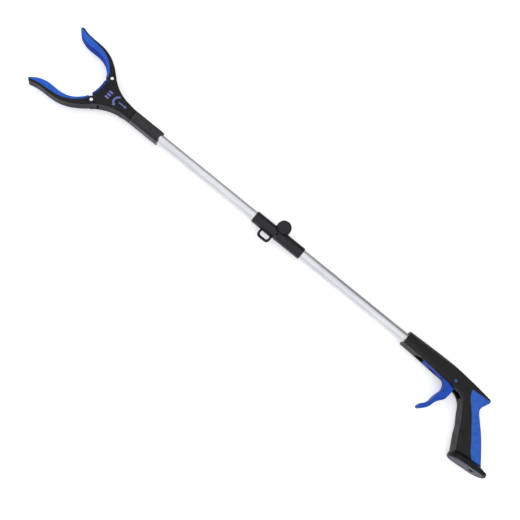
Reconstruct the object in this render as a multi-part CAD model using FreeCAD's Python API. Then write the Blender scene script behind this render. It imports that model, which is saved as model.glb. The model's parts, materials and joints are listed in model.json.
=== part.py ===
import FreeCAD, Part
import math
import os

# A folding reacher grabber, lying on its side.  Millimetres.
# X runs along the shaft from the jaws to the handle, Y points away from the grip,
# and Z is the direction of every pivot.  The shaft's axis is at Y = 0, Z = 0 while the
# pieces are made; the finished set is then moved so that the origin is under its middle.

# ---- Driving dimensions -------------------------------------------------------------
TUBE_R = 7.5
TUBE_WALL = 1.0
TUBE_SOCKET = 0.02          # gap round a tube in its socket
CABLE_R = 0.6
CABLE_TRAVEL = 4.86         # what a full squeeze pulls through the shaft

SEAM_X = -269.6             # where the turning head meets its collar
COLLAR_X = (-269.0, -221.4)
COLLAR_HALF = 8.4           # the collar and the neck are square with round corners
COLLAR_CORNER = 3.5
SPIGOT_R = 5.4
SPIGOT_X = -289.0

SLEEVE_R = 8.7
RIB_ANGLES = (9.0, 46.0, 134.0, 171.0)   # from +Z towards the grip's side
SLEEVE_X = (-56.5, 25.1)    # both halves of the fold joint
SPLIT_X = -18.2             # parting line between them
PLUG_X = (-40.0, 3.0)       # the tubes stop here, each side of the fold
PIVOT = (-15.5, 9.6)        # fold pivot, beside the shaft
EAR_R = 10.3
EAR_HALF = 9.0
TONGUE_R = 9.8
TONGUE_HALF = 2.8
FOLD_GAP = 0.45
CAP_R = 9.8
CAP_TOP = 13.4
BOLT_R = 3.0
RING_X = (-40.0, -20.2)      # the ring pull of the latch
RING_TOP = -7.9
RING_HALF = 1.8
LATCH_TRAVEL = 4.0

BARREL_X = 205.5            # front of the handle
TUBE_END_X = 238.0
HANDLE_HALF = 11.5
HANDLE_EDGE = 3.0
TRIGGER_PIVOT = (291.5, -6.0)
TRIGGER_HALF = 5.5
TRIGGER_PIN_R = 2.0
ANCHOR_ARM = 9.0            # cable anchor below the trigger's pivot
FLANGE_CENTRE = (367.4, -85.7)
FLANGE_TILT = 5.0
FLANGE_HALF = (28.7, 15.6)
BUTT_NECK = 6.4             # height of the butt above the flange's middle

PALM_HALF = 9.0
PALM_CAVITY = 4.8
JAW_HALF = 8.0
JAW_PIVOT = (-323.5, 21.3)
CHEEK_R = 5.9
HUB_R = 4.8
HUB_HALF = 4.5
TAIL_ARM = 9.5
TAIL_START = 12.0           # degrees from square to the shaft, jaws open
YOKE_HALF = 2.0
PIN_R = 1.2
SLOT_PLAY = 0.2

ANCHOR_SWING = 2 * math.degrees(math.asin(CABLE_TRAVEL / (2 * ANCHOR_ARM)))
Z_AXIS = FreeCAD.Vector(0, 0, 1)
X_AXIS = FreeCAD.Vector(1, 0, 0)
PIECES = {}


# ---- Small tools --------------------------------------------------------------------
def vec(x, y, z=0.0):
    return FreeCAD.Vector(x, y, z)


def region(*runs):
    """A flat face bounded by runs of points: two points are a line, more are a smooth curve."""
    edges = []
    for run in runs:
        points = [vec(x, y) for x, y in run]
        if len(points) == 2:
            edges.append(Part.LineSegment(points[0], points[1]).toShape())
        else:
            curve = Part.BSplineCurve()
            curve.interpolate(points)
            edges.append(curve.toShape())
    return Part.Face(Part.Wire(edges))


def polygon(*corners):
    closed = list(corners) + [corners[0]]
    return Part.Face(Part.makePolygon([vec(x, y) for x, y in closed]))


def slab(face, low, high):
    """The face stood up between two heights."""
    return face.translated(vec(0, 0, low)).extrude(vec(0, 0, high - low))


def disc(centre, radius, low, high):
    return Part.makeCylinder(radius, high - low, vec(centre[0], centre[1], low), Z_AXIS)


def rod(radius, start, end, y=0.0, z=0.0):
    """A round bar along the shaft."""
    return Part.makeCylinder(radius, end - start, vec(start, y, z), X_AXIS)


def block(low, high):
    size = [b - a for a, b in zip(low, high)]
    return Part.makeBox(size[0], size[1], size[2], vec(*low))


def pipe(radius, wall, start, end):
    return rod(radius, start, end).cut(rod(radius - wall, start - 1, end + 1))


def flip_z(shape):
    return shape.mirror(vec(0, 0), Z_AXIS)


def flip_y(shape):
    return shape.mirror(vec(0, 0), vec(0, 1))


def edges_at(shape, height):
    """Edges that lie wholly at one height."""
    found = []
    for edge in shape.Edges:
        box = edge.BoundBox
        if abs(box.ZMin - height) < 1e-4 and abs(box.ZMax - height) < 1e-4:
            found.append(edge)
    return found


def rounded(shape, radius, *heights, longer_than=0.0):
    edges = []
    for height in heights:
        edges += [edge for edge in edges_at(shape, height) if edge.Length > longer_than]
    return shape.makeFillet(radius, edges)


def turned(*profile):
    """A solid of revolution about the shaft's axis, from (x, radius) pairs."""
    points = [vec(x, r) for x, r in profile]
    points = [vec(profile[0][0], 0)] + points + [vec(profile[-1][0], 0)]
    face = Part.Face(Part.makePolygon(points + [points[0]]))
    return face.revolve(vec(0, 0), X_AXIS, 360)


def square_ring(x, half_y, half_z):
    """The outline of the neck or the collar, square to the shaft."""
    outline = oval(0.0, half_y, half_z, COLLAR_CORNER, -x)
    return outline.rotated(vec(0, 0), Z_AXIS, 90)


def about(centre, radius, degrees):
    angle = math.radians(degrees)
    return (centre[0] + radius * math.cos(angle), centre[1] + radius * math.sin(angle))


def coil(radius, wire, length, turns):
    """A round-wire coil standing on the origin along Z."""
    path = Part.makeHelix(length / turns, length, radius)
    section = Part.Wire(Part.makeCircle(wire, vec(radius, 0), vec(0, 1)))
    return Part.Wire(path).makePipeShell([section], True, True)


def cable(points, radius):
    """A round cable along straight runs joined by tangent arcs."""
    corners = [vec(x, y) for x, y in points]
    edges = []
    start = corners[0]
    for before, corner, after in zip(corners, corners[1:], corners[2:]):
        into = (corner - before).normalize()
        out = (after - corner).normalize()
        half_turn = into.getAngle(out) / 2
        reach = 0.45 * min((corner - before).Length, (after - corner).Length)
        bend = reach / math.tan(half_turn)
        entry = corner - into * reach
        leave = corner + out * reach
        centre = corner + (out - into).normalize() * (bend / math.cos(half_turn))
        middle = centre + (corner - centre).normalize() * bend
        edges.append(Part.LineSegment(start, entry).toShape())
        edges.append(Part.Arc(entry, middle, leave).toShape())
        start = leave
    edges.append(Part.LineSegment(start, corners[-1]).toShape())
    heading = corners[1] - corners[0]
    section = Part.Wire(Part.makeCircle(radius, corners[0], heading))
    return Part.Wire(edges).makePipeShell([section], True, False)


def screw(x, y, head_r, head_z, head_depth, shank_r, shank_end):
    """A pan-head screw along Z with a cross recess; it points away from its head."""
    inward = -1.0 if head_z > shank_end else 1.0
    head_low = min(head_z, head_z + inward * head_depth)
    head = disc((x, y), head_r, head_low, head_low + head_depth)
    edge = edges_at(head, head_z)
    head = head.makeFillet(head_depth * 0.45, edge)
    shank_low = min(head_z + inward * head_depth, shank_end)
    shank_high = max(head_z + inward * head_depth, shank_end)
    solid = head.fuse(disc((x, y), shank_r, shank_low, shank_high))
    half = head_r * 0.62
    thin = head_r * 0.13
    deep = head_depth * 0.5
    low = min(head_z, head_z + inward * deep)
    for a, b in ((half, thin), (thin, half)):
        solid = solid.cut(block((x - a, y - b, low), (x + a, y + b, low + deep)))
    return solid.removeSplitter()


def keep(name, shape):
    PIECES[name] = shape


# ---- Jaws and head ------------------------------------------------------------------
JAW_TIP = (-404.4, 52.4)
JAW_HEEL = (-331.2, 17.9)
JAW_ROOT = about(JAW_PIVOT, 5.85, 53.0)
PAD_ROOT = (-329.6, 21.4)
JAW_OUTER = [JAW_ROOT, (-334.2, 38.6), (-348.8, 47.0), (-362.0, 50.4), (-384.0, 51.4),
             (-397.5, 53.8)]
JAW_INNER = [JAW_TIP, (-396.0, 44.6), (-382.0, 39.6), (-360.0, 39.0), (-346.5, 34.8), (-336.2, 25.6),
             JAW_HEEL]
PAD_BACK = [(-401.4, 52.4), (-383.3, 48.5), (-369.5, 47.3), (-355.6, 44.4), (-341.0, 35.8), PAD_ROOT]


def jaw_blank():
    """Frame and pad as one, drawn for the jaw on the +Y side."""
    tip = [JAW_OUTER[-1], (-401.9, 54.4), JAW_TIP]
    face = region(JAW_OUTER, tip, JAW_INNER, [JAW_HEEL, JAW_PIVOT], [JAW_PIVOT, JAW_ROOT])
    solid = slab(face, -JAW_HALF, JAW_HALF)
    return rounded(solid, 1.8, -JAW_HALF, JAW_HALF)


def jaw_pieces():
    blank = jaw_blank()
    ahead = (-420.0, 56.0)
    beyond = (-420.0, 10.0)
    pad_area = region([(-406.0, 53.2), PAD_BACK[0]], PAD_BACK, [PAD_ROOT, (-327.5, 14.0)],
                      [(-327.5, 14.0), beyond], [beyond, ahead], [ahead, (-406.0, 53.2)])
    cutter = slab(pad_area, -20, 20)
    pad = blank.common(cutter)
    frame = blank.cut(cutter)
    reach = CHEEK_R + 0.35
    for low, high in ((HUB_HALF + 0.1, 20), (-20, -HUB_HALF - 0.1)):
        frame = frame.cut(disc(JAW_PIVOT, reach, low, high))
        pad = pad.cut(disc(JAW_PIVOT, reach, low, high))
    pin = about(JAW_PIVOT, TAIL_ARM, TAIL_START - 90)
    along = vec(pin[0] - JAW_PIVOT[0], pin[1] - JAW_PIVOT[1]).normalize()
    side = vec(-along.y, along.x) * 2.5
    corners = []
    for point, sign in ((JAW_PIVOT, 1), (JAW_PIVOT, -1), (pin, -1), (pin, 1)):
        corners.append((point[0] + sign * side.x, point[1] + sign * side.y))
    tail = slab(polygon(*corners), -HUB_HALF, HUB_HALF)
    tail = tail.fuse(disc(pin, 2.5, -HUB_HALF, HUB_HALF))
    frame = frame.fuse([disc(JAW_PIVOT, HUB_R, -HUB_HALF, HUB_HALF), tail])
    low = (JAW_PIVOT[0] - 12, JAW_PIVOT[1] - 15, -YOKE_HALF - 0.3)
    high = (JAW_PIVOT[0] + 12, JAW_PIVOT[1] - 3.6, YOKE_HALF + 0.3)
    frame = frame.cut(block(low, high))
    frame = frame.cut(disc(JAW_PIVOT, 1.68, -20, 20)).cut(disc(pin, PIN_R, -20, 20))
    return frame.removeSplitter(), pad, disc(pin, PIN_R, -HUB_HALF + 0.1, HUB_HALF - 0.1)


def make_jaws():
    frame, pad, pin = jaw_pieces()
    for side, shapes in (("upper", (frame, pad, pin)), ("lower", [flip_y(s) for s in (frame, pad, pin)])):
        keep("jaw_%s_frame" % side, shapes[0])
        keep("jaw_%s_pad" % side, shapes[1])
        keep("jaw_%s_pin" % side, shapes[2])


def palm_outline(inset=0.0):
    outer = [(SEAM_X, 8.4), (-285.0, 9.1), (-298.0, 12.3), (-309.0, 17.8), about(JAW_PIVOT, 5.7, 48.0)]
    inner_x = -327.6 + inset
    mouth_end = (-329.1 + inset, 12.7)
    shoulder = (JAW_PIVOT[0] + inset, JAW_PIVOT[1] - CHEEK_R)
    mouth = [mouth_end, (inner_x - 0.4, 7.0), (inner_x, 0.0), (inner_x - 0.4, -7.0),
             (mouth_end[0], -mouth_end[1])]

    def below(points):
        return [(x, -y) for x, y in reversed(points)]

    outer_end = [outer[-1], JAW_PIVOT]
    to_shoulder = [JAW_PIVOT, shoulder]
    to_mouth = [shoulder, mouth_end]
    return region(outer, outer_end, to_shoulder, to_mouth, mouth, below(to_mouth),
                  below(to_shoulder), below(outer_end), below(outer), [(SEAM_X, -8.4), outer[0]])


def make_head():
    lower_pivot = (JAW_PIVOT[0], -JAW_PIVOT[1])
    liner_depth = 1.3
    blank = slab(palm_outline(liner_depth), 0, PALM_HALF)
    blank = rounded(blank, 1.6, PALM_HALF, longer_than=40.0)
    for pivot in (JAW_PIVOT, lower_pivot):
        cheek = rounded(disc(pivot, CHEEK_R, 0, PALM_HALF), 0.8, PALM_HALF)
        blank = blank.fuse(cheek)
    blank = blank.removeSplitter()
    neck = Part.makeLoft([square_ring(-304.0, 21.0, 10.4), square_ring(-286.0, 10.6, 9.1),
                          square_ring(SEAM_X, COLLAR_HALF, COLLAR_HALF)], True)
    blank = blank.common(neck.fuse(block((-345.0, -60.0, -20.0), (-303.0, 60.0, 20.0))))
    room = block((-325.15, -21.0, -PALM_CAVITY), (-312.0, 21.0, PALM_CAVITY))
    tunnel = block((-312.5, -4.2, -PALM_CAVITY), (-295.0, 4.2, PALM_CAVITY))
    hollow = room.fuse([tunnel, rod(1.2, -296.0, -288.0)])
    for pivot in (JAW_PIVOT, lower_pivot):
        hollow = hollow.fuse(disc(pivot, HUB_R + 0.35, -PALM_CAVITY, PALM_CAVITY))
        fan = [about(pivot, reach, math.copysign(angle, pivot[1]))
               for reach, angle in ((12.0, 49.5), (14.0, 110.0), (14.0, 180.0), (9.0, 240.0))]
        hollow = hollow.fuse(slab(polygon(pivot, *fan), -PALM_CAVITY, PALM_CAVITY))
    socket = turned((SPIGOT_X - 0.3, SPIGOT_R + 0.1), (-285.2, SPIGOT_R + 0.1), (-285.2, 4.6),
                    (-281.0, 4.6), (-281.0, SPIGOT_R + 0.1), (SEAM_X + 1, SPIGOT_R + 0.1))
    blank = blank.cut(hollow).cut(socket)
    near = blank
    far = flip_z(blank)
    joins = ((-303.0, 9.2), (-303.0, -9.2))
    for pivot in (JAW_PIVOT, lower_pivot):
        near = near.cut(disc(pivot, 1.62, -1, 20)).cut(disc(pivot, 3.6, PALM_HALF - 0.8, 20))
        far = far.cut(disc(pivot, 1.6, -20, 1))
    for x, y in joins:
        near = near.cut(disc((x, y), 1.1, -1, 6.0))
        far = far.cut(disc((x, y), 1.12, -20, 1)).cut(disc((x, y), 2.4, -20, -7.4))
    keep("palm_shell_near", near)
    keep("palm_shell_far", far)

    mouth_strip = slab(palm_outline(0.0), -8.4, 8.4).cut(slab(palm_outline(liner_depth), -9, 9))
    strip_zone = block((-335.0, -14.6, -9.0), (-325.2, 14.6, 9.0))
    keep("palm_liner", mouth_strip.common(strip_zone))
    pins = []
    for pivot in (JAW_PIVOT, lower_pivot):
        pins.append(screw(pivot[0], pivot[1], 2.4, PALM_HALF + 0.5, 1.3, 1.6, -8.2))
    keep("jaw_screws", Part.makeCompound(pins))
    closers = [screw(x, y, 2.2, -8.4, 1.0, 1.1, 5.0) for x, y in joins]
    keep("palm_screws", Part.makeCompound(closers))


def make_yoke():
    pin = about(JAW_PIVOT, TAIL_ARM, TAIL_START - 90)
    prong = PIN_R + SLOT_PLAY + 1.5
    bar = block((pin[0] - prong, -15.8, -YOKE_HALF), (pin[0] + prong, 15.8, YOKE_HALF))
    for sign in (1, -1):
        start, end = sorted((sign * (pin[1] - PIN_R - SLOT_PLAY), sign * 17.0))
        width = PIN_R + SLOT_PLAY
        bar = bar.cut(block((pin[0] - width, start, -5), (pin[0] + width, end, 5)))
    stem = block((pin[0] - 1.0, -3.2, -3.2), (pin[0] + 8.0, 3.2, 3.2))
    yoke = bar.fuse(stem).removeSplitter()
    ferrule_x = (pin[0] + 1.0, pin[0] + 5.0)
    yoke = yoke.cut(rod(1.9, ferrule_x[0] - 0.2, ferrule_x[1] + 0.1)).cut(rod(0.9, pin[0], pin[0] + 9))
    keep("crosshead", yoke)
    cable_seat = rod(CABLE_R, ferrule_x[0] + 2, ferrule_x[1] + 1)
    keep("cable_ferrule", rod(1.6, ferrule_x[0], ferrule_x[1]).cut(cable_seat))
    spring = coil(2.9, 0.4, 17.0, 7)
    spring = spring.rotated(vec(0, 0), vec(0, 1), 90)
    keep("return_spring", spring.translated(vec(pin[0] + 8.8, 0)))
    return ferrule_x[0] + 2


# ---- Shaft and fold joint -----------------------------------------------------------
BRIDGE = [(-44.0, 0.0), (-33.0, 0.3), (-21.5, 5.6), (-9.5, 5.6), (2.0, 0.3), (13.0, 0.0)]


def make_collar():
    start, end = COLLAR_X
    chamfer = 0.5
    sections = []
    for x, half in ((start, COLLAR_HALF - chamfer), (start + chamfer, COLLAR_HALF),
                    (end - chamfer, COLLAR_HALF), (end, COLLAR_HALF - chamfer)):
        sections.append(square_ring(x, half, half))
    collar = Part.makeLoft(sections, True, True)
    scoop = disc((end + 16.3, 0.0), 18.0, -20, 20)
    spigot = turned((SPIGOT_X, SPIGOT_R - 0.5), (SPIGOT_X + 0.5, SPIGOT_R), (-285.4, SPIGOT_R),
                    (-285.4, 4.4), (-280.8, 4.4), (-280.8, SPIGOT_R), (COLLAR_X[0] + 1, SPIGOT_R))
    body = collar.cut(scoop).fuse(spigot)
    body = body.cut(rod(TUBE_R + TUBE_SOCKET, -262.0, -200.0)).cut(rod(1.2, -300.0, -200.0))
    keep("head_collar", body.removeSplitter())
    rivet = Part.makeCylinder(1.6, 2.4, vec(-246.0, 0, -COLLAR_HALF - 0.2), Z_AXIS)
    PIECES["head_collar"] = PIECES["head_collar"].cut(rivet)
    return rivet


def sleeve(start, end):
    """One half of the fold joint's sleeve: bevelled ends and long ribs on the grip's side."""
    bevel = 0.6
    body = turned((start, SLEEVE_R - bevel), (start + bevel, SLEEVE_R),
                  (end - bevel, SLEEVE_R), (end, SLEEVE_R - bevel))
    for angle in RIB_ANGLES:
        rib = block((start + 2.5, -0.8, SLEEVE_R - 0.6), (end - 2.5, 0.8, SLEEVE_R + 0.4))
        body = body.fuse(rib.rotated(vec(0, 0), X_AXIS, angle))
    return body.removeSplitter()


def cable_way():
    path = polygon((-42, -1.4), (-31, -1.4), (-20, 3.2), (-11, 3.2), (0, -1.4), (5, -1.4),
                   (5, 2.0), (2, 2.4), (-8, 7.4), (-23, 7.4), (-33, 2.4), (-42, 2.0))
    return slab(path, -1.2, 1.2)


def make_fold():
    way = cable_way()
    clear = EAR_R + FOLD_GAP
    tongue_room = TONGUE_HALF + 0.2
    upper = sleeve(SLEEVE_X[0], SPLIT_X)
    for low, high in ((TONGUE_HALF, 30), (-30, -TONGUE_HALF)):
        upper = upper.cut(disc(PIVOT, clear, low, high))
    tongue = disc(PIVOT, TONGUE_R, -TONGUE_HALF, TONGUE_HALF)
    upper = upper.fuse(tongue).cut(disc(PIVOT, BOLT_R + 0.05, -30, 30)).cut(way)
    upper = upper.cut(rod(TUBE_R + TUBE_SOCKET, SLEEVE_X[0] - 1, PLUG_X[0]))
    bolt_slot = block((-38.0, -8.1, -2.0), (SPLIT_X + 1, -5.3, 2.0))
    bar_slot = block((RING_X[0] - LATCH_TRAVEL - 0.3, -12.0, -2.0), (RING_X[1] + 0.3, -7.6, 2.0))
    upper = upper.cut(bolt_slot.fuse(bar_slot))

    lower = sleeve(SPLIT_X + FOLD_GAP, SLEEVE_X[1])
    ears = rounded(disc(PIVOT, EAR_R, -EAR_HALF, EAR_HALF), 0.5, -EAR_HALF, EAR_HALF)
    lower = lower.fuse(ears).removeSplitter()
    lower = lower.cut(disc(PIVOT, EAR_R + 0.4, -tongue_room, tongue_room))
    lower = lower.cut(block((-30, -2.5, -tongue_room), (SPLIT_X + FOLD_GAP, 24, tongue_room)))
    lower = lower.cut(disc(PIVOT, BOLT_R, -30, 30)).cut(way)
    lower = lower.cut(rod(TUBE_R + TUBE_SOCKET, PLUG_X[1], SLEEVE_X[1] + 1))
    notch = block((-30.0, -8.9, -2.4), (-14.0, -5.0, 2.4))
    lower = lower.cut(notch)
    return upper, lower


def round_slab(x_range, y_range, low_corner, high_corner, half):
    """A plate with one radius at its two low corners and another at its two high ones."""
    edges = []
    ends = []
    corners = ((1, 1, high_corner, 0), (0, 1, high_corner, 90),
               (0, 0, low_corner, 180), (1, 0, low_corner, 270))
    for right, top, corner, first in corners:
        x = x_range[1] - corner if right else x_range[0] + corner
        y = y_range[1] - corner if top else y_range[0] + corner
        points = [vec(*about((x, y), corner, first + step)) for step in (0, 45, 90)]
        edges.append(Part.Arc(*points).toShape())
        ends.append((points[0], points[2]))
    for index in range(4):
        edges.append(Part.LineSegment(ends[index][1], ends[(index + 1) % 4][0]).toShape())
    face = Part.Face(Part.Wire(Part.__sortEdges__(edges)))
    return slab(face, -half, half)


def make_latch():
    ring = rounded(round_slab(RING_X, (-20.0, RING_TOP), 5.6, 1.2, RING_HALF), 0.8, -RING_HALF, RING_HALF)
    ring = ring.cut(round_slab((RING_X[0] + 3.1, RING_X[1] - 3.1), (-16.9, -9.1), 3.2, 1.4, 5.0))
    keep("latch_ring", ring)
    keep("latch_bolt", block((-29.0, RING_TOP, -1.7), (-14.6, -5.6, 1.7)))
    spring = coil(1.0, 0.2, 8.4, 7).rotated(vec(0, 0), vec(0, 1), 90)
    keep("latch_spring", spring.translated(vec(-37.7, -6.6)))


def make_shaft(ferrule_end):
    collar_rivet = make_collar()
    upper, lower = make_fold()
    upper_tube = pipe(TUBE_R, TUBE_WALL, -262.0, PLUG_X[0])
    lower_tube = pipe(TUBE_R, TUBE_WALL, PLUG_X[1], TUBE_END_X)
    upper_rivet = Part.makeCylinder(1.6, 3.4, vec(-50.0, 0, -SLEEVE_R - 0.1), Z_AXIS)
    lower_rivet = Part.makeCylinder(1.6, 3.4, vec(17.0, 0, -SLEEVE_R - 0.1), Z_AXIS)
    keep("upper_tube", upper_tube.cut(collar_rivet).cut(upper_rivet))
    keep("lower_tube", lower_tube.cut(lower_rivet))
    keep("upper_knuckle", upper.cut(upper_rivet))
    keep("lower_knuckle", lower.cut(lower_rivet))
    keep("shaft_rivets_upper", Part.makeCompound([collar_rivet, upper_rivet]))
    keep("shaft_rivet_lower", lower_rivet)

    cap = disc(PIVOT, CAP_R, EAR_HALF, CAP_TOP)
    cap = rounded(cap, 1.2, CAP_TOP)
    cap = cap.cut(disc(PIVOT, 8.2, CAP_TOP - 0.7, 20))
    dome = disc(PIVOT, 7.6, CAP_TOP - 0.8, CAP_TOP - 0.1)
    cap = cap.fuse(rounded(dome, 0.4, CAP_TOP - 0.1)).removeSplitter()
    keep("hinge_cap", cap.cut(disc(PIVOT, BOLT_R, -30, CAP_TOP - 1.6)))
    keep("hinge_bolt", disc(PIVOT, BOLT_R, -11.6, CAP_TOP - 1.6))
    corners = [about(PIVOT, 6.2, 60 * turn) for turn in range(6)]
    nut = slab(polygon(*corners), -EAR_HALF - 3.0, -EAR_HALF)
    keep("hinge_nut", nut.cut(disc(PIVOT, BOLT_R, -30, 30)))

    keep("upper_cable", rod(CABLE_R, ferrule_end, BRIDGE[0][0]))
    keep("cable_bridge", cable(BRIDGE, CABLE_R))


# ---- Handle and trigger -------------------------------------------------------------
FRONT_TOP = (BARREL_X, 10.0)
FRONT_LOW = (BARREL_X, -9.0)


def butt_top(x):
    """Height of the butt's flat top, on which the grip stands."""
    slope = math.radians(FLANGE_TILT)
    rise = BUTT_NECK / math.cos(slope)
    return FLANGE_CENTRE[1] + rise + (x - FLANGE_CENTRE[0]) * math.tan(slope)


GRIP_FRONT = (341.0, butt_top(341.0))
GRIP_REAR = (381.4, butt_top(381.4))


def handle_face():
    top = [FRONT_TOP, (230.0, 10.9), (256.0, 11.3), (283.0, 10.6), (310.0, 8.6), (343.4, 4.8)]
    crest = [(343.4, 4.8), (347.0, 3.1), (347.7, -0.3)]
    back = [(347.7, -0.3), (342.6, -9.4), (340.6, -15.6), (345.6, -25.4), (356.9, -39.4),
            (368.0, -55.6), (378.2, -72.8), GRIP_REAR]
    front = [GRIP_FRONT, (337.4, -72.0), (332.8, -61.0), (329.4, -50.5), (322.3, -35.6),
             (315.0, -21.9), (307.5, -16.6), (297.0, -14.9)]
    belly = [(297.0, -14.9), (270.0, -12.4), (243.0, -10.4), FRONT_LOW]
    return region(top, crest, back, [GRIP_REAR, GRIP_FRONT], front, belly, [FRONT_LOW, FRONT_TOP])


def strap_face():
    front = [(317.0, -1.0), (319.2, -9.4), (331.0, -25.8), (341.6, -42.7), (352.4, -60.2),
             (358.2, -70.8), (364.0, -77.6), (372.0, -83.0)]
    low = (400.0, -83.0)
    high = (400.0, 6.0)
    return region(front, [front[-1], low], [low, high], [high, (350.0, 1.7)], [(350.0, 1.7), front[0]])


def pocket_face():
    return polygon((TUBE_END_X - 0.2, 7.2), (300.0, 6.0), (330.0, 1.5), (334.5, -12.0), (354.0, -44.0),
                   (367.0, -69.0), (340.0, -69.0), (329.5, -45.0), (318.0, -20.0), (312.2, -12.0),
                   (298.0, -11.0), (TUBE_END_X - 0.2, -7.2))


SCREW_SPOTS = ((249.0, 3.8), (272.0, 4.4), (309.0, -1.5), (330.4, -32.0), (346.6, -60.0))


def make_handle():
    pocket_half = 7.2
    bore = rod(TUBE_R + TUBE_SOCKET, BARREL_X - 1, TUBE_END_X)
    half = slab(handle_face(), 0, HANDLE_HALF).cut(bore)
    half = rounded(half, HANDLE_EDGE, HANDLE_HALF)
    # the barrel is nearly round in front and grows flat-sided towards the grip
    around = block((BARREL_X - 25, -40, -1), (290.0, 40, 40))
    half = half.cut(around.cut(turned((BARREL_X - 35, 10.6), (300.0, 14.9))))
    strap_zone = slab(strap_face(), -20, 20)
    inward = vec(-3.4, -3.4 * math.tan(math.radians(FLANGE_TILT)))
    core = slab(handle_face(), -8.6, 8.6).translated(inward)
    wrap = strap_zone.cut(core)
    strap = half.common(wrap)
    keep("backstrap", strap.fuse(flip_z(strap)).removeSplitter())

    pocket = slab(pocket_face(), -pocket_half, pocket_half)
    slot = block((231.0, -40.0, -TRIGGER_HALF - 0.6), (312.2, -3.0, TRIGGER_HALF + 0.6))
    shell = flip_z(half.cut(wrap).cut(pocket.fuse(slot)))
    shell = shell.fuse([disc(spot, 3.0, -pocket_half - 1, 0) for spot in SCREW_SPOTS]).removeSplitter()
    near = flip_z(shell)
    far = shell
    for spot in SCREW_SPOTS:
        near = near.cut(disc(spot, 1.4, -1, 7.6))
        far = far.cut(disc(spot, 1.42, -20, 1)).cut(disc(spot, 2.9, -20, -HANDLE_HALF + 2.6))
    pin_room = TRIGGER_PIN_R + 0.02
    near = near.cut(disc(TRIGGER_PIVOT, pin_room, -1, 20)).cut(disc(TRIGGER_PIVOT, 3.7, 10.3, 20))
    far = far.cut(disc(TRIGGER_PIVOT, pin_room, -20, 1)).cut(disc(TRIGGER_PIVOT, 3.4, -20, -10.6))
    keep("handle_shell_near", near.removeSplitter())
    keep("handle_shell_far", far.removeSplitter())
    screws = [screw(x, y, 2.6, -HANDLE_HALF + 1.2, 1.4, 1.4, 7.0) for x, y in SCREW_SPOTS]
    keep("handle_screws", Part.makeCompound(screws))

    head = rounded(disc(TRIGGER_PIVOT, 2.8, 10.3, HANDLE_HALF), 0.5, HANDLE_HALF)
    pin = disc(TRIGGER_PIVOT, TRIGGER_PIN_R, -10.7, 10.8)
    tail = disc(TRIGGER_PIVOT, 3.3, -HANDLE_HALF - 0.1, -10.7)
    keep("trigger_pin", head.fuse([pin, tail]).removeSplitter())
    guide = rod(TUBE_R - TUBE_WALL - 0.02, TUBE_END_X - 8, TUBE_END_X).fuse(
        rod(TUBE_R - 0.4, TUBE_END_X, TUBE_END_X + 1.0))
    keep("cable_guide", guide.cut(rod(1.1, 200, 260)).removeSplitter())


def anchor_point():
    return about(TRIGGER_PIVOT, ANCHOR_ARM, -90.0 - ANCHOR_SWING / 2)


def make_trigger():
    anchor = anchor_point()
    front = [(243.0, -7.4), (243.6, -9.4), (255.0, -10.8), (269.0, -11.6), (277.0, -12.8), (282.0, -15.4),
             (284.4, -20.0), (284.6, -27.0), (281.9, -34.5), (280.0, -42.0), (278.2, -50.0),
             (274.6, -55.4), (270.6, -59.6), (269.0, -63.6)]
    tip = [front[-1], (269.4, -66.2), (271.8, -67.0)]
    back = [tip[-1], (275.2, -64.2), (282.3, -54.6), (284.8, -47.6), (289.4, -40.4), (293.6, -35.4),
            (296.2, -27.0), (297.3, -16.0), (297.0, -6.0)]
    top = [back[-1], (291.5, -0.5), (285.0, -3.6), (270.0, -5.0), front[0]]
    solid = slab(region(front, tip, back, top), -TRIGGER_HALF, TRIGGER_HALF)
    solid = rounded(solid, 1.1, -TRIGGER_HALF, TRIGGER_HALF)
    cable_slot = polygon((240.0, 5.0), (240.0, -3.2), (262.0, -9.4), (anchor[0] - 3.0, anchor[1] - 0.4),
                         (anchor[0], anchor[1] - 2.3), (anchor[0] + 2.3, anchor[1]), (295.3, -10.0),
                         (295.3, 5.0))
    solid = solid.cut(slab(cable_slot, -1.6, 1.6))
    solid = solid.cut(disc(anchor, 2.25, -TRIGGER_HALF - 1, 4.2))
    keep("trigger", solid.cut(disc(TRIGGER_PIVOT, TRIGGER_PIN_R + 0.06, -20, 20)))

    nipple = disc(anchor, 1.8, -4.0, 4.0)
    bend = (TUBE_END_X + 14.0, 0.0)
    route = [(BRIDGE[-1][0], 0.0), bend, anchor]
    keep("lower_cable", lower_line(route).cut(nipple))
    keep("cable_nipple", nipple)
    spring = coil(2.9, 0.4, 1.4, 1.5)
    keep("trigger_spring", spring.translated(vec(TRIGGER_PIVOT[0], TRIGGER_PIVOT[1], -0.7)))


def lower_line(route):
    """Straight down the tube, one soft bend at the guide, then straight to the nipple."""
    start, corner, end = [vec(x, y) for x, y in route]
    out = (end - corner).normalize()
    reach = 12.0
    half_turn = X_AXIS.getAngle(out) / 2
    bend = reach / math.tan(half_turn)
    entry = corner - X_AXIS * reach
    leave = corner + out * reach
    centre = entry - vec(0, bend)
    middle = centre + (corner - centre).normalize() * bend
    edges = [Part.LineSegment(start, entry).toShape(), Part.Arc(entry, middle, leave).toShape(),
             Part.LineSegment(leave, end).toShape()]
    section = Part.Wire(Part.makeCircle(CABLE_R, start, X_AXIS))
    return Part.Wire(edges).makePipeShell([section], True, False)


def oval(centre, half_x, half_z, corner, height):
    """A rounded rectangle lying flat at one height of the butt, in its own tilted frame."""
    x, z = half_x - corner, half_z - corner
    points = []
    for sx, sz, turn in ((1, 1, 0), (-1, 1, 90), (-1, -1, 180), (1, -1, 270)):
        for step in (0, 45, 90):
            angle = math.radians(turn + step)
            points.append(vec(centre + sx * x + corner * math.cos(angle), height,
                              sz * z + corner * math.sin(angle)))
    edges = []
    for index in range(0, 12, 3):
        edges.append(Part.Arc(*points[index:index + 3]).toShape())
        edges.append(Part.LineSegment(points[index + 2], points[(index + 3) % 12]).toShape())
    return Part.Wire(edges)


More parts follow.
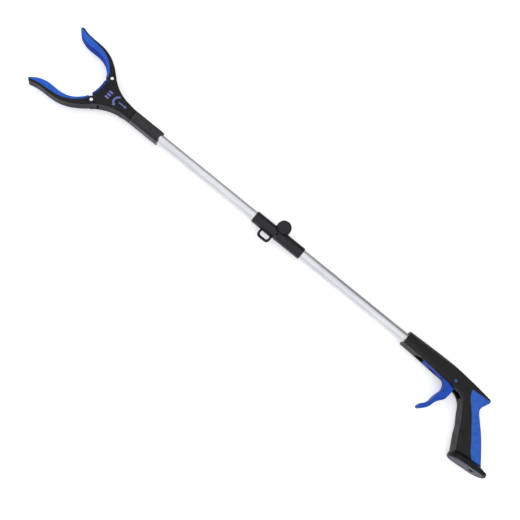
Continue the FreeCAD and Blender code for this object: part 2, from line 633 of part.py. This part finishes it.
def make_butt():
    half_x, half_z = FLANGE_HALF
    rim_low, rim_high = -1.4, 2.4
    neck = oval(-6.2, 20.2, 11.4, 6.0, BUTT_NECK)
    wide = oval(0.0, half_x, half_z, half_z - 0.3, rim_high)
    base = oval(0.0, half_x, half_z, half_z - 0.3, rim_low)
    under = oval(0.0, half_x - 1.4, half_z - 1.4, half_z - 1.7, rim_low - 1.2)
    flange = Part.makeLoft([neck, wide], True, True)
    rim = Part.makeLoft([wide, base], True, True)
    flange = flange.fuse([rim, Part.makeLoft([base, under], True, True)])
    flange = flange.removeSplitter()
    plate_x, plate_z = half_x - 2.6, half_z - 2.6
    seat = rim_low - 0.4
    recess = [oval(0.0, plate_x, plate_z, plate_z - 0.3, height) for height in (-8.0, seat)]
    flange = flange.cut(Part.makeLoft(recess, True, True))
    plate = Part.makeLoft([oval(0.0, plate_x - 0.6, plate_z - 0.6, plate_z - 0.9, seat - 1.0),
                           oval(0.0, plate_x - 0.1, plate_z - 0.1, plate_z - 0.4, seat)], True, True)
    strap_slot = block((5.0, -10.0, -3.8), (12.0, 4.6, 3.8))
    strap_bar = Part.makeCylinder(1.2, 8.0, vec(4.5, 1.2), X_AXIS)
    side_flat = block((-60, -60, -half_z - 5), (60, 60, -half_z + 0.4))
    side_flat = side_flat.fuse(flip_z(side_flat))
    for name, shape in (("butt_flange", flange), ("butt_plate", plate)):
        shape = shape.cut(strap_slot).cut(side_flat)
        if name == "butt_flange":
            shape = shape.fuse(strap_bar).removeSplitter()
        shape = shape.rotated(vec(0, 0), Z_AXIS, FLANGE_TILT)
        keep(name, shape.translated(vec(*FLANGE_CENTRE)))


# ---- The whole set ------------------------------------------------------------------
def build():
    make_jaws()
    make_head()
    make_shaft(make_yoke())
    make_latch()
    make_handle()
    make_trigger()
    make_butt()
    box = Part.makeCompound(list(PIECES.values())).optimalBoundingBox(False, False)
    shift = vec(-(box.XMin + box.XMax) / 2, -(box.YMin + box.YMax) / 2, -box.ZMin)
    return shift, {name: shape.translated(shift) for name, shape in PIECES.items()}


SHIFT, PARTS = build()
os.makedirs("parts", exist_ok=True)
for node, solid in PARTS.items():
    solid.exportStep("parts/%s.step" % node)
    print(node, len(solid.Solids), "valid" if solid.isValid() else "NOT VALID", round(solid.Volume, 1))
print("moved by", SHIFT)
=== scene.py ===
import json
import math
import bmesh
import bpy
from mathutils import Matrix, Vector


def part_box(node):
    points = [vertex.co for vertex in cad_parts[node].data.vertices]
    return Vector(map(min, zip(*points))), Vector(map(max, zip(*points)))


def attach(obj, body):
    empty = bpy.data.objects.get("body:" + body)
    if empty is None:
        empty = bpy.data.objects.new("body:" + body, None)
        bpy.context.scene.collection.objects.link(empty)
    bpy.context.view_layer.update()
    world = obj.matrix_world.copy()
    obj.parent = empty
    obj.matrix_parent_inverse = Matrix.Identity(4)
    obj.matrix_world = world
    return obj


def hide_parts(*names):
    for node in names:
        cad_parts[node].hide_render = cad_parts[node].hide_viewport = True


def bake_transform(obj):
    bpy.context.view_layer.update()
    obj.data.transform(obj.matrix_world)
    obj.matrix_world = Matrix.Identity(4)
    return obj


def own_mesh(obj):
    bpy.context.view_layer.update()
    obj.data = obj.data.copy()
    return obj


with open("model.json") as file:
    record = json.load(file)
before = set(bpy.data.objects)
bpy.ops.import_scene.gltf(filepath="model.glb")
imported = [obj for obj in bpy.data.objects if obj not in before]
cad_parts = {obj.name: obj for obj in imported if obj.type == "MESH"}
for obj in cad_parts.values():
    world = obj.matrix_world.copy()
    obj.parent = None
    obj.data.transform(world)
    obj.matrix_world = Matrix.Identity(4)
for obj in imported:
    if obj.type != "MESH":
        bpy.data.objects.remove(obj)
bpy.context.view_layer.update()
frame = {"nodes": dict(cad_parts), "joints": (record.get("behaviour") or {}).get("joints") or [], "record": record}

MM = 0.001
NODES = frame["nodes"]

# ---- Places taken from the frame ----------------------------------------------------
TUBE_LOW, TUBE_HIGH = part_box("upper_tube")
AXIS_Y = (TUBE_LOW.y + TUBE_HIGH.y) / 2
AXIS_Z = (TUBE_LOW.z + TUBE_HIGH.z) / 2
PALM_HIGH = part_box("palm_shell_near")[1]
HEAD_SEAM = PALM_HIGH.x
JOINTS = {joint["name"]: joint for joint in frame["joints"]}
FOLD_PIVOT = Vector(JOINTS["fold"]["pos_m"])


# ---- Node graphs --------------------------------------------------------------------
def add(tree, kind, inputs=None, **settings):
    """A shader node; each input is a number, a colour or another node's output."""
    made = tree.nodes.new("ShaderNode" + kind)
    for name, value in settings.items():
        setattr(made, name, value)
    for name, value in (inputs or {}).items():
        if isinstance(value, bpy.types.NodeSocket):
            tree.links.new(value, made.inputs[name])
        else:
            made.inputs[name].default_value = value
    return made


def start(name):
    """A material with one Principled shader; returns the material, its tree and the shader."""
    material = bpy.data.materials.new(name)
    material.use_nodes = True
    tree = material.node_tree
    return material, tree, tree.nodes["Principled BSDF"]


def noise(tree, size, stretch=(1.0, 1.0, 1.0), detail=2.0, roughness=0.5):
    """Noise fixed to the piece, with features about size metres across."""
    where = add(tree, "TexCoord").outputs["Object"]
    scale = [1.0 / (size * s) for s in stretch]
    placed = add(tree, "Mapping", {"Vector": where, "Scale": scale}).outputs["Vector"]
    inputs = {"Vector": placed, "Scale": 1.0, "Detail": detail, "Roughness": roughness}
    return add(tree, "TexNoise", inputs).outputs["Fac"]


def remap(tree, value, low, high, to_low=0.0, to_high=1.0):
    """Low to high becomes to_low to to_high, clamped at both ends."""
    inputs = {"Value": value, "From Min": low, "From Max": high,
              "To Min": to_low, "To Max": to_high}
    return add(tree, "MapRange", inputs).outputs["Result"]


def times(tree, a, b):
    return add(tree, "Math", {0: a, 1: b}, operation="MULTIPLY").outputs["Value"]


def mixed(tree, share, a, b):
    """Colour a where share is 0, colour b where it is 1."""
    made = add(tree, "Mix", {0: share, 6: a, 7: b}, data_type="RGBA")
    return made.outputs[2]


def rgb(red, green, blue):
    return (red, green, blue, 1.0)


def edge_share(tree, radius):
    """1 along sharp edges and 0 on open faces."""
    soft = add(tree, "Bevel", {"Radius": radius}, samples=4).outputs["Normal"]
    flat = add(tree, "NewGeometry").outputs["Normal"]
    dot = add(tree, "VectorMath", {0: soft, 1: flat}, operation="DOT_PRODUCT").outputs["Value"]
    return remap(tree, dot, 0.995, 0.80)


def relief(tree, shader, height, strength, depth, softened=0.0):
    """Bumps of the given depth in metres, over edges softened by a small radius."""
    inputs = {"Height": height, "Strength": strength, "Distance": depth}
    if softened:
        inputs["Normal"] = add(tree, "Bevel", {"Radius": softened}, samples=4).outputs["Normal"]
    bump = add(tree, "Bump", inputs).outputs["Normal"]
    tree.links.new(bump, shader.inputs["Normal"])


# ---- Materials ----------------------------------------------------------------------
# Moulded plastic: clouds in the colour, smudges in the gloss, softened edges, and rubbed edges lightened partly as
# wear and partly as a painted highlight
CLOUD_SIZE = 9 * MM
CLOUD_DARK, CLOUD_PALE = 0.84, 1.08
SMUDGE_SIZE = 14 * MM
SMUDGE_LESS, SMUDGE_MORE = 0.06, 0.08
RUB_AND_HIGHLIGHT_PATCH = 2.5 * MM
RUB_AND_HIGHLIGHT_RADIUS = 0.5 * MM
RUB_AND_HIGHLIGHT_STRENGTH = 0.8
SOFT_EDGE = 0.25 * MM
PLASTIC_IOR = 1.46
# Metal: stretches of the noise along X for drawing lines, clouds and scuffs, and along Z for turning
DRAWN = (220.0, 1.0, 1.0)
CLOUD_LONG = (3.0, 1.0, 1.0)
SCUFF_LONG = (9.0, 1.0, 1.0)
TURNED = (1.0, 1.0, 6.0)
DRAWN_SIZE = 0.18 * MM
TUBE_CLOUD = 16 * MM
SCUFF_SIZE = 1.2 * MM
STEEL_CLOUD = 1.5 * MM
STEEL_DULL = 0.72
METAL_DEPTH = 0.01 * MM
STEEL_EDGE = 0.08 * MM
# Backdrop: size of its clouds in metres, and its own light
FLOOR_CLOUD = 0.4
FLOOR_GLOW = 0.38


def moulded(name, base, wear_and_highlight, grain, roughness, gloss, depth=0.03 * MM, sides=None):
    """Injection-moulded plastic: cloudy colour, eroded grain, rubbed edges with painted highlights, maybe painted
    shade on upright sides.
    """
    material, tree, shader = start(name)
    cloud = noise(tree, CLOUD_SIZE, detail=3.0)
    dark = rgb(*[c * CLOUD_DARK for c in base])
    pale = rgb(*[c * CLOUD_PALE for c in base])
    colour = mixed(tree, remap(tree, cloud, 0.35, 0.65), dark, pale)
    # Painted shade: upright sides take a darker colour than faces that lie flat
    if sides:
        facing = add(tree, "TexCoord").outputs["Normal"]
        upright = add(tree, "SeparateXYZ", {"Vector": facing}).outputs["Z"]
        level = add(tree, "Math", {0: upright}, operation="ABSOLUTE").outputs["Value"]
        colour = mixed(tree, remap(tree, level, 0.25, 0.85), rgb(*sides), colour)
    # Rubbed edges: a lighter colour along sharp edges in patches, partly wear and partly a painted highlight
    rub_and_highlight_patches = remap(tree, noise(tree, RUB_AND_HIGHLIGHT_PATCH), 0.30, 0.60)
    rubbed_and_highlit = times(tree, edge_share(tree, RUB_AND_HIGHLIGHT_RADIUS), rub_and_highlight_patches)
    colour = mixed(tree, times(tree, rubbed_and_highlit, RUB_AND_HIGHLIGHT_STRENGTH), colour, rgb(*wear_and_highlight))
    tree.links.new(colour, shader.inputs["Base Color"])
    fine = noise(tree, grain, detail=2.0)
    smudge = noise(tree, SMUDGE_SIZE, detail=4.0)
    dulled = remap(tree, smudge, 0.3, 0.7, roughness - SMUDGE_LESS, roughness + SMUDGE_MORE)
    tree.links.new(dulled, shader.inputs["Roughness"])
    shader.inputs["IOR"].default_value = PLASTIC_IOR
    shader.inputs["Specular IOR Level"].default_value = gloss
    relief(tree, shader, fine, 0.5, depth, SOFT_EDGE)
    return material


def tube_metal():
    """Satin anodised aluminium, drawn lengthwise, with faint scuffs."""
    material, tree, shader = start("satin_aluminium")
    lines = noise(tree, DRAWN_SIZE, DRAWN, detail=3.0)
    cloud = noise(tree, TUBE_CLOUD, CLOUD_LONG, detail=3.0)
    cool = rgb(0.58, 0.592, 0.608)
    pale = rgb(0.67, 0.677, 0.683)
    scuffed = rgb(0.47, 0.48, 0.50)
    tone = mixed(tree, remap(tree, cloud, 0.3, 0.7), cool, pale)
    scuff = remap(tree, noise(tree, SCUFF_SIZE, SCUFF_LONG, detail=4.0), 0.70, 0.78)
    tone = mixed(tree, times(tree, scuff, 0.5), tone, scuffed)
    tree.links.new(tone, shader.inputs["Base Color"])
    shader.inputs["Metallic"].default_value = 1.0
    tree.links.new(remap(tree, lines, 0.3, 0.7, 0.32, 0.42), shader.inputs["Roughness"])
    relief(tree, shader, lines, 0.25, METAL_DEPTH)
    return material


def plated(name, base, roughness, streak):
    """Plated or bare steel with turning marks."""
    material, tree, shader = start(name)
    cloud = noise(tree, STEEL_CLOUD, detail=3.0)
    dull = rgb(*[c * STEEL_DULL for c in base])
    colour = mixed(tree, remap(tree, cloud, 0.4, 0.65), rgb(*base), dull)
    tree.links.new(colour, shader.inputs["Base Color"])
    shader.inputs["Metallic"].default_value = 1.0
    marks = noise(tree, streak, TURNED, detail=2.0)
    dulled = remap(tree, marks, 0.3, 0.7, roughness, roughness + 0.12)
    tree.links.new(dulled, shader.inputs["Roughness"])
    relief(tree, shader, marks, 0.2, METAL_DEPTH, STEEL_EDGE)
    return material


def stranded():
    """Twisted steel wire: slanting bands along the cable."""
    material, tree, shader = start("stranded_wire")
    where = add(tree, "TexCoord").outputs["Object"]
    turn = add(tree, "Mapping", {"Vector": where, "Rotation": (0.6, 0.0, 0.9)}).outputs["Vector"]
    inputs = {"Vector": turn, "Scale": 260.0, "Distortion": 0.4}
    bands = add(tree, "TexWave", inputs).outputs["Fac"]
    colour = mixed(tree, bands, rgb(0.18, 0.18, 0.18), rgb(0.62, 0.61, 0.59))
    tree.links.new(colour, shader.inputs["Base Color"])
    shader.inputs["Metallic"].default_value = 1.0
    tree.links.new(remap(tree, bands, 0.0, 1.0, 0.5, 0.3), shader.inputs["Roughness"])
    relief(tree, shader, bands, 0.6, 0.1 * MM)
    return material


def printed_ink():
    """Printed marks, slightly uneven where the ink is thin."""
    material, tree, shader = start("printed_ink")
    thin = noise(tree, 0.9 * MM, detail=4.0)
    deep = rgb(0.09, 0.10, 0.32)
    full = rgb(0.14, 0.155, 0.44)
    colour = mixed(tree, remap(tree, thin, 0.35, 0.6), deep, full)
    tree.links.new(colour, shader.inputs["Base Color"])
    tree.links.new(remap(tree, thin, 0.3, 0.7, 0.42, 0.6), shader.inputs["Roughness"])
    return material


def studio_floor():
    """Plain white backdrop, lit from within so that it stays pale under the object."""
    material, tree, shader = start("studio_floor")
    cloud = noise(tree, FLOOR_CLOUD, detail=2.0)
    colour = mixed(tree, cloud, rgb(0.90, 0.90, 0.90), rgb(0.92, 0.92, 0.92))
    tree.links.new(colour, shader.inputs["Base Color"])
    shader.inputs["Roughness"].default_value = 0.9
    shader.inputs["Emission Color"].default_value = rgb(1.0, 1.0, 1.0)
    shader.inputs["Emission Strength"].default_value = FLOOR_GLOW
    return material


# moulded(name, base colour, colour of rubbed edges (wear and painted highlight), grain size, roughness, gloss,
# grain depth)
BLACK = moulded("moulded_black", (0.0055, 0.0055, 0.0068), (0.040, 0.040, 0.050),
                0.28 * MM, 0.42, 0.22)
SHINY = moulded("shaft_black", (0.0032, 0.0032, 0.0046), (0.050, 0.050, 0.066),
                0.25 * MM, 0.27, 0.40)
GRIP = moulded("grip_black", (0.0044, 0.0042, 0.0046), (0.034, 0.034, 0.040),
               0.42 * MM, 0.46, 0.33, 0.05 * MM)
GREY = moulded("dark_grey", (0.013, 0.013, 0.019), (0.04, 0.04, 0.05),
               0.3 * MM, 0.45, 0.3)
BUTT = moulded("butt_grey", (0.060, 0.058, 0.080), (0.12, 0.12, 0.15),
               0.35 * MM, 0.5, 0.3, 0.06 * MM)
# sides: painted shade, a darker blue on upright faces
BLUE_SOFT = moulded("blue_rubber", (0.034, 0.122, 0.58), (0.06, 0.17, 0.64),
                    0.22 * MM, 0.5, 0.04, sides=(0.006, 0.030, 0.30))
BLUE_HARD = moulded("blue_plastic", (0.018, 0.078, 0.45), (0.05, 0.14, 0.56),
                    0.3 * MM, 0.36, 0.12, sides=(0.010, 0.042, 0.33))
BLUE_GRIP = moulded("blue_insert", (0.038, 0.125, 0.51), (0.07, 0.18, 0.60),
                    0.3 * MM, 0.45, 0.08, sides=(0.010, 0.045, 0.33))
BLUE_LIP = moulded("blue_lip", (0.014, 0.050, 0.27), (0.03, 0.10, 0.42),
                   0.22 * MM, 0.5, 0.10)
BLUE_PIN = moulded("blue_pin", (0.030, 0.075, 0.22), (0.10, 0.16, 0.34),
                   0.3 * MM, 0.3, 0.4)
TUBE = tube_metal()
CHROME = plated("plated_steel", (0.86, 0.86, 0.86), 0.16, 0.3 * MM)
ZINC = plated("zinc_steel", (0.62, 0.62, 0.61), 0.28, 0.3 * MM)
BLUED = plated("blued_steel", (0.09, 0.09, 0.10), 0.34, 0.3 * MM)
WIRE = stranded()
INK = printed_ink()

FINISHES = {
    "black_plastic": BLACK, "dark_grey_plastic": GREY, "blue_rubber": BLUE_SOFT,
    "blue_plastic": BLUE_HARD, "tube_aluminium": TUBE, "bright_steel": CHROME,
    "zinc_steel": ZINC, "cable_wire": WIRE,
}

OWN_FINISHES = {
    "handle_shell_near": GRIP, "handle_shell_far": GRIP,
    "butt_plate": BUTT, "trigger_pin": BLUE_PIN,
    "head_collar": SHINY, "upper_knuckle": SHINY, "lower_knuckle": SHINY, "hinge_cap": SHINY,
    "latch_ring": BLACK, "latch_bolt": BLUED, "backstrap": BLUE_GRIP,
}


def paint_frame():
    """Every CAD node takes its own finish, or else that of its slot."""
    for entry in frame["record"]["subparts"]:
        obj = NODES[entry["node"]]
        finish = FINISHES[entry["material_slot"]]
        if entry["node"] in OWN_FINISHES:
            finish = OWN_FINISHES[entry["node"]]
        for place in obj.material_slots:
            place.material = finish


# ---- Mesh tools ---------------------------------------------------------------------
def piece(name, mesh, material, body):
    """An object of the visual model, which rides a body unless body is None."""
    obj = bpy.data.objects.new(name, mesh)
    bpy.context.scene.collection.objects.link(obj)
    mesh.materials.append(material)
    if body:
        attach(obj, body)
    return obj


def tube_mesh(name, path, radius, sides=12):
    """A round rod along a list of points, closed at both ends."""
    made = bmesh.new()
    rings = []
    side = Vector((0.0, 0.0, 1.0))
    for index, point in enumerate(path):
        ahead = (path[min(index + 1, len(path) - 1)] - path[max(index - 1, 0)]).normalized()
        across = ahead.cross(side).normalized()
        side = across.cross(ahead).normalized()
        ring = []
        for step in range(sides):
            angle = 2 * math.pi * step / sides
            spoke = math.cos(angle) * side + math.sin(angle) * across
            ring.append(made.verts.new(point + radius * spoke))
        rings.append(ring)
    for before, after in zip(rings, rings[1:]):
        for step in range(sides):
            following = (step + 1) % sides
            made.faces.new((before[step], before[following], after[following], after[step]))
    made.faces.new(list(reversed(rings[0])))
    made.faces.new(rings[-1])
    bmesh.ops.recalc_face_normals(made, faces=made.faces)
    for face in made.faces:
        face.smooth = len(face.verts) == 4
    mesh = bpy.data.meshes.new(name)
    made.to_mesh(mesh)
    made.free()
    return mesh


def plates(name, outlines, low, high):
    """Flat outlines in the row frame, each stood up between two heights."""
    made = bmesh.new()
    for outline in outlines:
        bottom = [made.verts.new((x, y, low)) for x, y in outline]
        top = [made.verts.new((x, y, high)) for x, y in outline]
        made.faces.new(list(reversed(bottom)))
        made.faces.new(top)
        for index in range(len(outline)):
            following = (index + 1) % len(outline)
            made.faces.new((bottom[index], bottom[following], top[following], top[index]))
    bmesh.ops.recalc_face_normals(made, faces=made.faces)
    mesh = bpy.data.meshes.new(name)
    made.to_mesh(mesh)
    made.free()
    return mesh


# ---- Marks on the palm --------------------------------------------------------------
# Millimetres from the palm's rear seam and the shaft's axis; X is negative towards the jaws.
BAR_X = -41.4
BAR_PITCH = 4.6
BAR_LONG, BAR_WIDE, BAR_CORNER = 6.2, 3.0, 1.2
TURN_X, TURN_Y = -24.5, 0.2
TURN_RADIUS, TURN_WIDTH, TURN_HEAD = 7.5, 2.8, 3.0
TURN_FIRST, TURN_LAST = 112, 236
BARB = 1.15
LINE_FIRST, LINE_LAST, LINE_Y = -24.6, -11.2, 0.4
LINE_WIDTH, LINE_HEAD, LINE_SPREAD = 1.7, 4.2, 2.5
INK_SUNK, INK_PROUD = 0.1 * MM, 0.06 * MM
LIP_X, LIP_HALF, LIP_WIDTH = -57.8, 11.6, 3.0
LIP_BOW, MOUTH_HALF = 1.5, 12.7
LIP_PROUD = 0.12 * MM


def from_seam(x, y):
    """A place on the palm, in millimetres from its rear seam and the shaft's axis."""
    return (HEAD_SEAM + x * MM, AXIS_Y + y * MM)


def rounded_box(x, y, long, wide, corner):
    """A rectangle about a middle, with round corners."""
    points = []
    steps = 4
    for sx, sy, first in ((1, 1, 0), (-1, 1, 90), (-1, -1, 180), (1, -1, 270)):
        for step in range(steps + 1):
            angle = math.radians(first + 90 * step / steps)
            points.append((x + sx * (long / 2 - corner) + corner * math.cos(angle),
                           y + sy * (wide / 2 - corner) + corner * math.sin(angle)))
    return points


def curved_arrow(x, y, radius, width, first, last, head):
    """An arc with an arrowhead at its last end; angles in degrees."""
    steps = 24
    outer, inner = [], []
    for step in range(steps + 1):
        angle = math.radians(first + (last - first) * step / steps)
        for points, reach in ((outer, radius + width / 2), (inner, radius - width / 2)):
            points.append((x + reach * math.cos(angle), y + reach * math.sin(angle)))
    turn = math.copysign(1.0, last - first)
    angle = math.radians(last)
    ahead = (-turn * math.sin(angle) * head, turn * math.cos(angle) * head)
    barbs = []
    for reach in (radius + width * BARB, radius - width * BARB):
        barbs.append((x + reach * math.cos(angle), y + reach * math.sin(angle)))
    tip = (x + radius * math.cos(angle) + ahead[0], y + radius * math.sin(angle) + ahead[1])
    outline = outer + [barbs[0], tip, barbs[1]] + inner[::-1]
    return [from_seam(*point) for point in outline]


def straight_arrow(x, end, y, width, head, spread):
    """A bar from x to end with an arrowhead of a given length and half width."""
    half = width / 2
    corners = [(x, y - half), (end - head, y - half), (end - head, y - spread), (end, y),
               (end - head, y + spread), (end - head, y + half), (x, y + half)]
    return [from_seam(*corner) for corner in corners]


def palm_marks():
    """Three bars, a turning arrow and a straight arrow, printed on the palm's near face."""
    top = PALM_HIGH.z
    outlines = []
    for offset in (-BAR_PITCH, 0.0, BAR_PITCH):
        bar = rounded_box(BAR_X, offset, BAR_LONG, BAR_WIDE, BAR_CORNER)
        outlines.append([from_seam(x, y) for x, y in bar])
    outlines.append(curved_arrow(TURN_X, TURN_Y, TURN_RADIUS, TURN_WIDTH,
                                 TURN_FIRST, TURN_LAST, TURN_HEAD))
    outlines.append(straight_arrow(LINE_FIRST, LINE_LAST, LINE_Y,
                                   LINE_WIDTH, LINE_HEAD, LINE_SPREAD))
    mesh = plates("palm_marks", outlines, top - INK_SUNK, top + INK_PROUD)
    piece("palm_marks", mesh, INK, "head")


def palm_lip():
    """The lip of the palm's liner, over the near edge of the mouth."""
    top = PALM_HIGH.z
    steps = 8
    outer, inner = [], []
    for step in range(-steps, steps + 1):
        y = LIP_HALF * step / steps
        x = LIP_X - LIP_BOW * (y / MOUTH_HALF) ** 2
        outer.append(from_seam(x, y))
        inner.append(from_seam(x + LIP_WIDTH, y))
    mesh = plates("palm_lip", [outer + inner[::-1]], top - INK_SUNK, top + LIP_PROUD)
    piece("palm_lip", mesh, BLUE_LIP, "head")


# ---- Springs and the cable over the fold --------------------------------------------
COIL_TURNS = 7
COIL_STEPS = 20
RETURN_WIRE = 0.4 * MM
LATCH_WIRE = 0.2 * MM


def helix(centre, radius, wire, length, turns, name):
    """The wire of a compression spring along X."""
    path = []
    steps = turns * COIL_STEPS
    for step in range(steps + 1):
        share = step / steps
        angle = 2 * math.pi * turns * share
        path.append(Vector((centre.x + length * (share - 0.5),
                            centre.y + radius * math.cos(angle),
                            centre.z + radius * math.sin(angle))))
    return tube_mesh(name, path, wire, 8)


def spring_piece(node, body, wire):
    """A coil in the place of the CAD spring, on the given body."""
    low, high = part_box(node)
    centre = (low + high) / 2
    radius = (high.z - low.z) / 2 - wire
    mesh = helix(centre, radius, wire, high.x - low.x - 2 * wire, COIL_TURNS, node + "_coil")
    coil = piece(node + "_coil", mesh, ZINC, body)
    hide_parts(node)
    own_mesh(coil)


def springs():
    spring_piece("return_spring", "head", RETURN_WIRE)
    spring_piece("latch_spring", "upper_shaft", LATCH_WIRE)


def bridge_cable():
    """The flexible stretch of the pull cable that bends beside the fold pivot."""
    low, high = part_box("cable_bridge")
    radius = (high.z - low.z) / 2
    rise = high.y - low.y - 2 * radius
    base = low.y + radius
    path = []
    steps = 60
    for step in range(steps + 1):
        share = step / steps
        lift = math.sin(math.pi * share) ** 1.5
        path.append(Vector((low.x + (high.x - low.x) * share, base + rise * lift, AXIS_Z)))
    mesh = tube_mesh("cable_bridge_wire", path, radius)
    obj = piece("cable_bridge_wire", mesh, WIRE, None)
    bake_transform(obj)
    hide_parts("cable_bridge")


# ---- Studio -------------------------------------------------------------------------
# Places and sizes in metres, powers in watts; the sky's edge is a span of cosines.
TARGET = FOLD_PIVOT + Vector((1.8, -49.0, -13.8)) * MM
CAMERA_LEAN = math.radians(19.5)
CAMERA_DISTANCE = 1.0155
CAMERA_ROLL = math.radians(39.03)
FOCAL_LENGTH = 51.92
KEY_POWER = 5.0
FILL_POWER = 1.0
SKY_MIDDLE = (0.0, -0.42, 0.9075)
SKY_EDGE = (0.30, 0.76)
SKY_LOW = 0.20
SKY_HIGH = 1.30
SKY_COLOUR = rgb(0.95, 0.965, 1.0)
KEY_PLACE, KEY_SIZE = (-0.75, 1.0, 1.5), (1.8, 1.2)
FILL_PLACE, FILL_SIZE = (0.9, -1.2, 1.3), (1.6, 1.6)
FILL_COLOUR = (0.96, 0.97, 1.0)
FLOOR_HALF = 60.0
FLOOR_LEVEL = -0.15 * MM


def camera():
    """Looks down at the fold, leaning towards the grip side and rolled."""
    data = bpy.data.cameras.new("camera")
    data.sensor_width = 36.0
    data.lens = FOCAL_LENGTH
    data.clip_start, data.clip_end = 0.05, 200.0
    obj = bpy.data.objects.new("camera", data)
    bpy.context.scene.collection.objects.link(obj)
    across = Vector((0.0, math.cos(CAMERA_LEAN), math.sin(CAMERA_LEAN)))
    back = Vector((0.0, -math.sin(CAMERA_LEAN), math.cos(CAMERA_LEAN)))
    along = Vector((1.0, 0.0, 0.0))
    right = math.cos(CAMERA_ROLL) * along + math.sin(CAMERA_ROLL) * across
    up = -math.sin(CAMERA_ROLL) * along + math.cos(CAMERA_ROLL) * across
    turn = Matrix((right, up, back)).transposed().to_4x4()
    obj.matrix_world = Matrix.Translation(TARGET + back * CAMERA_DISTANCE) @ turn
    bpy.context.scene.camera = obj


def softbox(name, place, size, power, colour=(1.0, 1.0, 1.0)):
    """A rectangular light that points at the middle of the view."""
    data = bpy.data.lights.new(name, "AREA")
    data.shape = "RECTANGLE"
    data.size, data.size_y = size
    data.energy = power
    data.color = colour
    obj = bpy.data.objects.new(name, data)
    bpy.context.scene.collection.objects.link(obj)
    obj.location = place
    obj.rotation_mode = "QUATERNION"
    obj.rotation_quaternion = (TARGET - Vector(place)).to_track_quat("-Z", "Y")


def backdrop():
    """A wide floor just under the object."""
    mesh = bpy.data.meshes.new("floor")
    corners = [(x * FLOOR_HALF, y * FLOOR_HALF, FLOOR_LEVEL)
               for x, y in ((-1, -1), (1, -1), (1, 1), (-1, 1))]
    mesh.from_pydata(corners, [], [(0, 1, 2, 3)])
    mesh.materials.append(studio_floor())
    floor = bpy.data.objects.new("floor", mesh)
    bpy.context.scene.collection.objects.link(floor)


def sky():
    """A pale dome, brightest about one direction and dim towards the horizon."""
    world = bpy.data.worlds.new("studio")
    bpy.context.scene.world = world
    world.use_nodes = True
    tree = world.node_tree
    way = add(tree, "TexCoord").outputs["Generated"]
    inputs = {0: way, 1: SKY_MIDDLE}
    towards = add(tree, "VectorMath", inputs, operation="DOT_PRODUCT").outputs["Value"]
    glow = remap(tree, towards, SKY_EDGE[0], SKY_EDGE[1], SKY_LOW, SKY_HIGH)
    shader = tree.nodes["Background"]
    shader.inputs["Color"].default_value = SKY_COLOUR
    tree.links.new(glow, shader.inputs["Strength"])


def studio():
    backdrop()
    softbox("key", KEY_PLACE, KEY_SIZE, KEY_POWER)
    softbox("fill", FILL_PLACE, FILL_SIZE, FILL_POWER, FILL_COLOUR)
    sky()
    bpy.context.scene.view_settings.view_transform = "Standard"


paint_frame()
palm_marks()
palm_lip()
springs()
bridge_cable()
studio()
camera()
